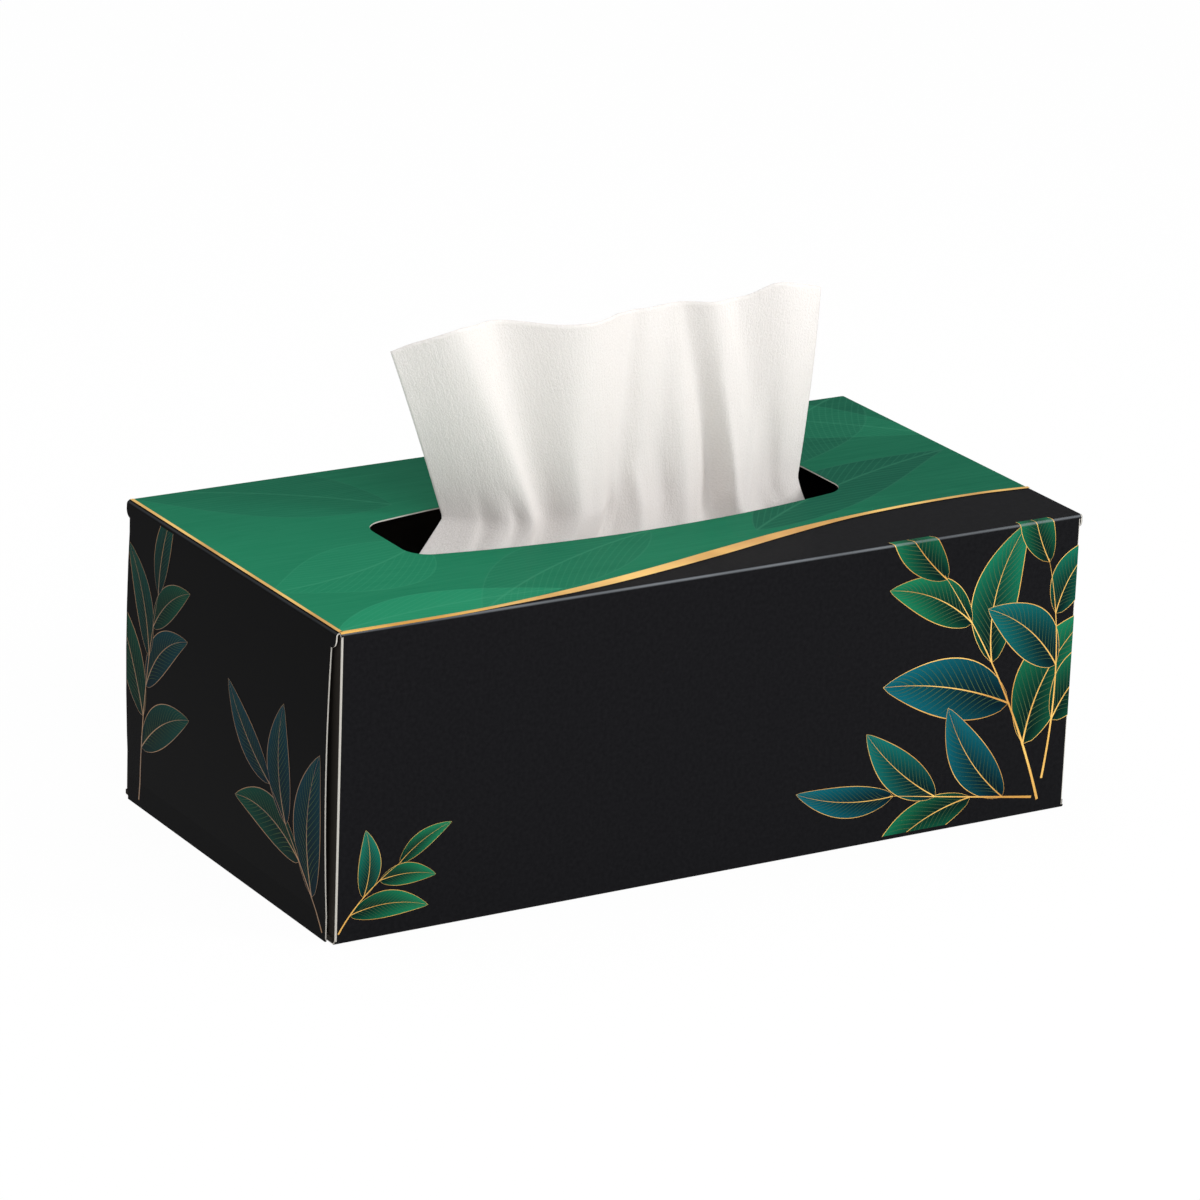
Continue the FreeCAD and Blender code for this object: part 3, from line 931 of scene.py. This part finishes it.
def printed_piece(name, bm, wrap, limits):
    """Trims flat print to (left, right, low, high), wraps it and makes the piece."""
    left, right, low, high = limits
    for place, normal in (
        ((left, 0, 0), (-1, 0, 0)),
        ((right, 0, 0), (1, 0, 0)),
        ((0, low, 0), (0, -1, 0)),
        ((0, high, 0), (0, 1, 0)),
    ):
        cut_flat(bm, place, normal, clear=True)
    for i in range(FOLD_CUTS + 1):
        cut_flat(bm, (0, FOLD_START + FOLD_LENGTH * i / FOLD_CUTS, 0), (0, 1, 0))
    for vert in bm.verts:
        vert.co = wrap(*vert.co)
    piece = make_object(name, bm)
    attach(piece, "root")
    print(name, "faces", len(piece.data.polygons))
    return piece


# %% [markdown]
# ## The gold band
# One band runs along the left fold, turns at the corner and follows the front fold, then leaves it and
# sweeps back over the top panel, wider in the middle. It parts the green from the black.

# %% Gold band
BAND_STEPS = 160
LEFT_BAND_STEPS = 20
BAND_LIFT = INK + 60 * LAYER


def lay_strip(bm, steps, path, width, lift):
    """A strip of this width along a path, both given over 0 to 1, in flat millimetres."""
    made = bmesh.ops.create_grid(bm, x_segments=steps, y_segments=1, size=1.0)
    for vert in made["verts"]:
        share = (vert.co.x + 1) / 2
        before = path(max(share - 0.5 / steps, 0.0))
        after = path(min(share + 0.5 / steps, 1.0))
        way = (after - before).normalized()
        side = Vector((-way.y, way.x)) * (vert.co.y * width(share) / 2)
        place = path(share) + side
        vert.co = (place.x, place.y, lift)


def band_x(share):
    return SWEEP[0][0] + (SWEEP[-1][0] - SWEEP[0][0]) * share


def band_middle(share):
    middles = [(x, y) for x, y, width in SWEEP]
    return Vector((band_x(share), run_up(offset_at(middles, band_x(share)))))


def band_width(share):
    return offset_at([(x, width) for x, y, width in SWEEP], band_x(share))


def left_band(share):
    low = run_up(SWEEP[0][1])
    return Vector((LEFT_BAND_X, low + (run_up(HALF_WIDTH - FOLD) - low) * share))


band = bmesh.new()
lay_strip(band, BAND_STEPS, band_middle, band_width, BAND_LIFT)
lay_strip(band, LEFT_BAND_STEPS, left_band, lambda share: LEFT_BAND_WIDTH, BAND_LIFT)
band_limits = (-114.2, 114.8, 0.5, run_up(HALF_WIDTH - 0.5))
gold_band = printed_piece("gold_band", band, wrap_front, band_limits)


# %% Gold ink
def gold_ink(name, dull, bright):
    """Gold with soft brighter patches that are painted highlights of the foil."""
    material, tree = new_material(name)
    shader = principled(tree)
    painted_glints = cloud(tree, object_place(tree), 45.0, 2.0)
    # Painted highlights: brighter gold in soft patches.
    shown = blend(tree, step(tree, painted_glints, 0.35, 0.65), dull, bright)
    wire(tree, shown, shader.inputs["Base Color"])
    shader.inputs["Metallic"].default_value = 0.15
    shader.inputs["Roughness"].default_value = 0.35
    return material


gold = gold_ink("gold ink", colour(202, 146, 60), colour(244, 196, 100))
# A darker gold for the ends, as painted shade.
shaded_end_gold = gold_ink("gold ink painted in shade", colour(120, 84, 44), colour(170, 122, 66))
gold_band.data.materials.append(gold)
print("gold on", gold_band.name)

# %% [markdown]
# ## Leaf sprigs
# The ornament is a plain botanical one: arching stems with oval leaves on either side in turn, some green
# and some teal, each with a gold edge and midrib and fine side veins. A sprig is a function, so every
# sprig is one line of numbers, and a fixed seed for each panel keeps its leaves from being all alike.

# %% Leaves: one leaf, drawn flat
LEAF_STEPS = 22
VEINS = 15
VEIN_STEPS = 5
VEIN_REACH = 0.2
# How wide the gold line and a vein are, as shares of the leaf's width.
LINE = 0.011
VEIN_LINE = 0.009


def leaf_frame(base, tip, sag):
    """Point on a leaf for a share along it and a distance to its side."""
    axis = tip - base
    side = Vector((-axis.y, axis.x)).normalized()

    def point(along, aside):
        return base + axis * along + side * (sag * 4 * along * (1 - along) + aside)

    return point


def leaf_half_width(along, width):
    return width / 2 * math.sin(math.pi * min(max(along, 0.0), 1.0) ** 0.82) ** 0.8


def lay_leaf(fills, lines, base, tip, width, sag, lift, tint):
    point = leaf_frame(base, tip, sag)
    uv = fills.loops.layers.uv["leaf"]
    tints = fills.verts.layers.float["tint"]
    made = bmesh.ops.create_grid(fills, x_segments=LEAF_STEPS, y_segments=4, size=1.0)
    faces = {face for vert in made["verts"] for face in vert.link_faces}
    for face in faces:
        for loop in face.loops:
            loop[uv].uv = ((loop.vert.co.x + 1) / 2, (loop.vert.co.y + 1) / 2)
    for vert in made["verts"]:
        along = (vert.co.x + 1) / 2
        place = point(along, vert.co.y * leaf_half_width(along, width))
        vert[tints] = tint
        vert.co = (place.x, place.y, lift)
    above = lift + LAYER / 2
    fine = LINE * width
    for way in (-1, 1):
        lay_strip(
            lines,
            LEAF_STEPS,
            lambda t, way=way: point(t, way * leaf_half_width(t, width)),
            lambda t: fine * (0.5 + math.sin(math.pi * t)),
            above,
        )
    lay_strip(lines, LEAF_STEPS, lambda t: point(t, 0.0), lambda t: fine * 2.4 * (1.1 - t), above)


def side_vein(point, width, start, way):
    """A vein from the midrib, at this share of the leaf, out to just inside the leaf's edge."""

    def path(share):
        along = start + VEIN_REACH * share
        return point(along, way * share * leaf_half_width(along, width) * 0.97)

    return path


def lay_veins(lines, base, tip, width, sag, lift):
    point = leaf_frame(base, tip, sag)
    for i in range(VEINS):
        start = 0.06 + 0.74 * i / (VEINS - 1)
        for way in (-1, 1):
            vein = side_vein(point, width, start, way)
            lay_strip(lines, VEIN_STEPS, vein, lambda t: VEIN_LINE * width * (1.2 - t), lift + LAYER / 4)


print("one leaf has", LEAF_STEPS * 4, "faces and", 2 * VEINS, "side veins")


# %% Leaves: sprigs
STEM_STEPS = 40
# Leaves stand on this part of the stem, and lean out by an angle that closes towards the tip.
FIRST_LEAF = 0.24
LEAF_SPAN = 0.72
OPENING = 56
CLOSING = 26


def bend_curve(start, bend, end):
    start, bend, end = (Vector(p) for p in (start, bend, end))

    def path(share):
        return start * (1 - share) ** 2 + bend * (2 * share * (1 - share)) + end * share ** 2

    return path


class Press:
    """The flat sheets of one panel's print: leaf fills, gold lines and vein lines."""

    def __init__(self, seed):
        self.fills = bmesh.new()
        self.fills.loops.layers.uv.new("leaf")
        self.fills.verts.layers.float.new("tint")
        self.gold = bmesh.new()
        self.veins = bmesh.new()
        self.leaves = 0
        self.luck = random.Random(seed)

    def leaf(self, base, tip, width, sag, tint):
        lift = INK + LAYER * self.leaves
        lay_leaf(self.fills, self.gold, base, tip, width, sag, lift, tint)
        lay_veins(self.veins, base, tip, width, sag, lift)
        self.leaves += 1

    def sprig(self, start, bend, end, leaves, length, width, stem, tints):
        path = bend_curve(start, bend, end)
        for i in range(leaves):
            share = FIRST_LEAF + LEAF_SPAN * i / leaves
            base = path(share)
            way = (path(share + 0.01) - base).normalized()
            side = 1 if i % 2 else -1
            size = (0.72 + 0.28 * math.sin(math.pi * (share + 0.2))) * self.luck.uniform(0.88, 1.1)
            opening = math.radians(OPENING - CLOSING * share + self.luck.uniform(-6, 6))
            tip = base + (Matrix.Rotation(side * opening, 2) @ way) * (length * size)
            sag = -side * length * size * self.luck.uniform(0.05, 0.12)
            self.leaf(base, tip, width * size * self.luck.uniform(0.9, 1.1), sag, tints[i % len(tints)])
        end_way = (path(1.0) - path(0.97)).normalized()
        self.leaf(path(0.98), path(0.98) + end_way * (length * 0.8), width * 0.7, 0.05 * length, tints[0])
        lift = INK + LAYER * (self.leaves + 1)
        lay_strip(self.gold, STEM_STEPS, path, lambda t: stem * (1.15 - t), lift)


print("one stem has", STEM_STEPS, "faces")

# %% Leaves: the panels' sprigs
# Each sprig is (start, bend and end of its stem, leaves, their length and width, width of the stem, and
# the leaves' tints in turn, from 0 green to 1 teal). Places are across the panel and up from its foot.
FRONT_SPRIGS = [
    ((105, 4), (94, 40), (70, 74), 4, 42, 17, 0.7, (0.1, 0.9, 0.2)),
    ((103, 5), (84, 8), (56, 13), 3, 40, 13, 0.6, (0.9, 0.1, 0.6)),
    ((106, 10), (112, 46), (104, 74), 3, 34, 15, 0.6, (0.1, 0.7, 0.3)),
]
FRONT_LEFT_SPRIGS = [
    ((-113, 3), (-107, 13), (-95, 20), 3, 22, 7.5, 0.4, (0.1, 0.4)),
]
END_SPRIGS = [
    ((-50, 2), (-46, 36), (-38, 66), 5, 36, 12, 0.5, (0.4, 0.1, 0.8)),
    ((55, 2), (44, 18), (26, 34), 3, 40, 14, 0.5, (0.9, 0.2)),
]


def press_panel(name, seed, sprigs, wrap, limits):
    """Prints a panel's sprigs and gives back its leaves, gold lines and veins."""
    press = Press(seed)
    for sprig in sprigs:
        press.sprig(*sprig)
    return (
        printed_piece(name + "_leaves", press.fills, wrap, limits),
        printed_piece(name + "_gold_lines", press.gold, wrap, limits),
        printed_piece(name + "_veins", press.veins, wrap, limits),
    )


front_limits = (-113.6, 113.6, 1.5, run_up(-57.8))
end_limits = (-56.0, 56.0, 1.5, FOLD_START - 0.2)
panels = {
    "front": press_panel("front", 5, FRONT_SPRIGS, wrap_front, front_limits),
    "corner": press_panel("corner", 6, FRONT_LEFT_SPRIGS, wrap_front, front_limits),
    "left_end": press_panel("left_end", 3, END_SPRIGS, wrap_end(-1), end_limits),
    "right_end": press_panel("right_end", 4, END_SPRIGS, wrap_end(1), end_limits),
}


# %% Leaves: inks
DARK_GREEN = colour(8, 34, 28)
DARK_TEAL = colour(7, 28, 38)
VEIN_DARK = colour(14, 62, 48)
VEIN_PALE = colour(96, 110, 66)


def leaf_ink(name, light_green, light_teal):
    """Green to teal by the leaf's tint, lighter towards its tip and its edges."""
    material, tree = new_material(name)
    shader = principled(tree)
    uv = tree.nodes.new("ShaderNodeUVMap")
    uv.uv_map = "leaf"
    along, across = parts_of(tree, uv.outputs[0])[:2]
    tint = tree.nodes.new("ShaderNodeAttribute")
    tint.attribute_name = "tint"
    dark = blend(tree, tint.outputs["Fac"], DARK_GREEN, DARK_TEAL)
    light = blend(tree, tint.outputs["Fac"], light_green, light_teal)
    aside = maths(tree, "ABSOLUTE", maths(tree, "SUBTRACT", across, 0.5))
    glow = maths(tree, "MULTIPLY", along, 0.8)
    glow = maths(tree, "ADD", glow, maths(tree, "MULTIPLY", aside, 0.7))
    shown = blend(tree, step(tree, glow, 0.15, 1.1, smooth=True), dark, light)
    # Painted highlight where the leaf crosses a fold.
    shown = with_painted_fold_highlight(tree, object_place(tree), shown)
    wire(tree, shown, shader.inputs["Base Color"])
    shader.inputs["Roughness"].default_value = 0.35
    shader.inputs["Specular IOR Level"].default_value = 0.01
    return material


def vein_ink():
    material, tree = new_material("vein ink")
    shader = principled(tree)
    shown = blend(tree, cloud(tree, object_place(tree), 40.0), VEIN_DARK, VEIN_PALE)
    wire(tree, shown, shader.inputs["Base Color"])
    shader.inputs["Roughness"].default_value = 0.35
    shader.inputs["Specular IOR Level"].default_value = 0.01
    return material


vein_green = vein_ink()
bright_leaf = leaf_ink("leaf ink", colour(24, 118, 76), colour(10, 88, 106))
# A darker leaf ink for the ends, as painted shade.
shaded_end_leaf = leaf_ink("leaf ink painted in shade", colour(12, 66, 48), colour(8, 48, 62))
for name, (leaves, gold_lines, veins) in panels.items():
    # The ends' leaves and gold lines get the darker inks, as painted shade.
    at_end = name.endswith("end")
    leaves.data.materials.append(shaded_end_leaf if at_end else bright_leaf)
    gold_lines.data.materials.append(shaded_end_gold if at_end else gold)
    veins.data.materials.append(vein_green)
print("panels printed", len(panels))
